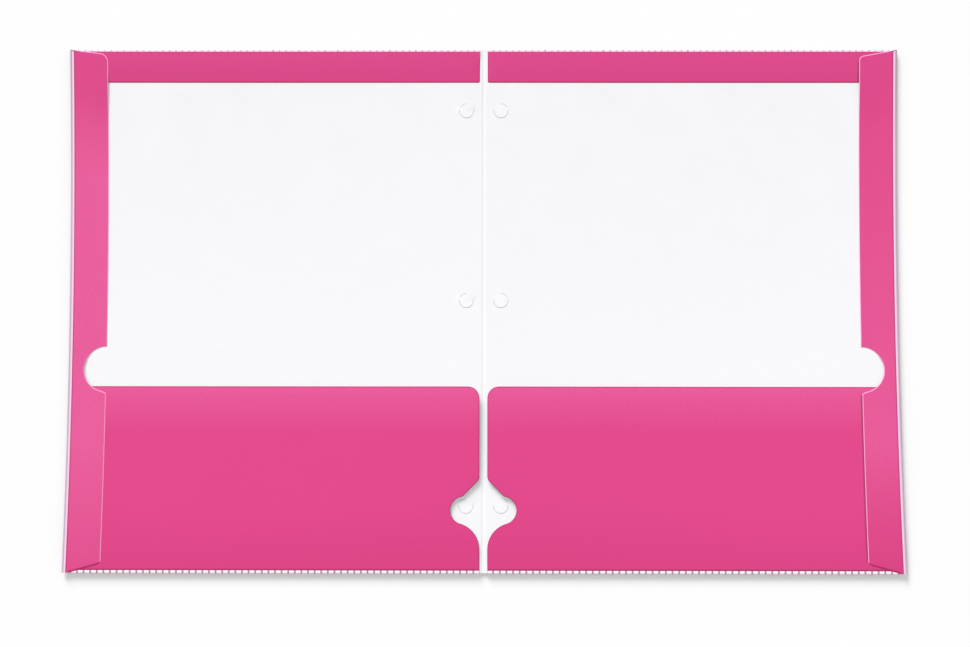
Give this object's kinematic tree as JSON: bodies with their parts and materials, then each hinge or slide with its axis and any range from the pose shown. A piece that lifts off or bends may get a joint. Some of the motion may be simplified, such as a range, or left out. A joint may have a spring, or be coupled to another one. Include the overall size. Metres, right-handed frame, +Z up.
{
  "type": "pocket folder",
  "caption": "Open pocket folder of laminated card: covers that close at a scored spine, each with a folded pocket, hem and glued side flap.",
  "frame": {"origin": "on the floor under the middle of the spine, the bottom centre of the open folder's box", "axes": "+X across the spine towards the right cover, +Y from the pockets towards the hems, +Z up out of the open inside"},
  "size_m": [0.47, 0.2956, 0.0016],
  "materials": {
    "left_card": "laminated print, satin",
    "right_card": "laminated print, satin"
  },
  "bodies": {
    "left": {"left_cover": "left_card"},
    "right": {"right_cover": "right_card"}
  },
  "joints": [
    {"name": "spine_fold", "type": "hinge", "parent": "left", "child": "right", "pos_m": [0, 0, 0.0017], "axis": [0, -1, 0], "range_deg": [0, 180]}
  ]
}
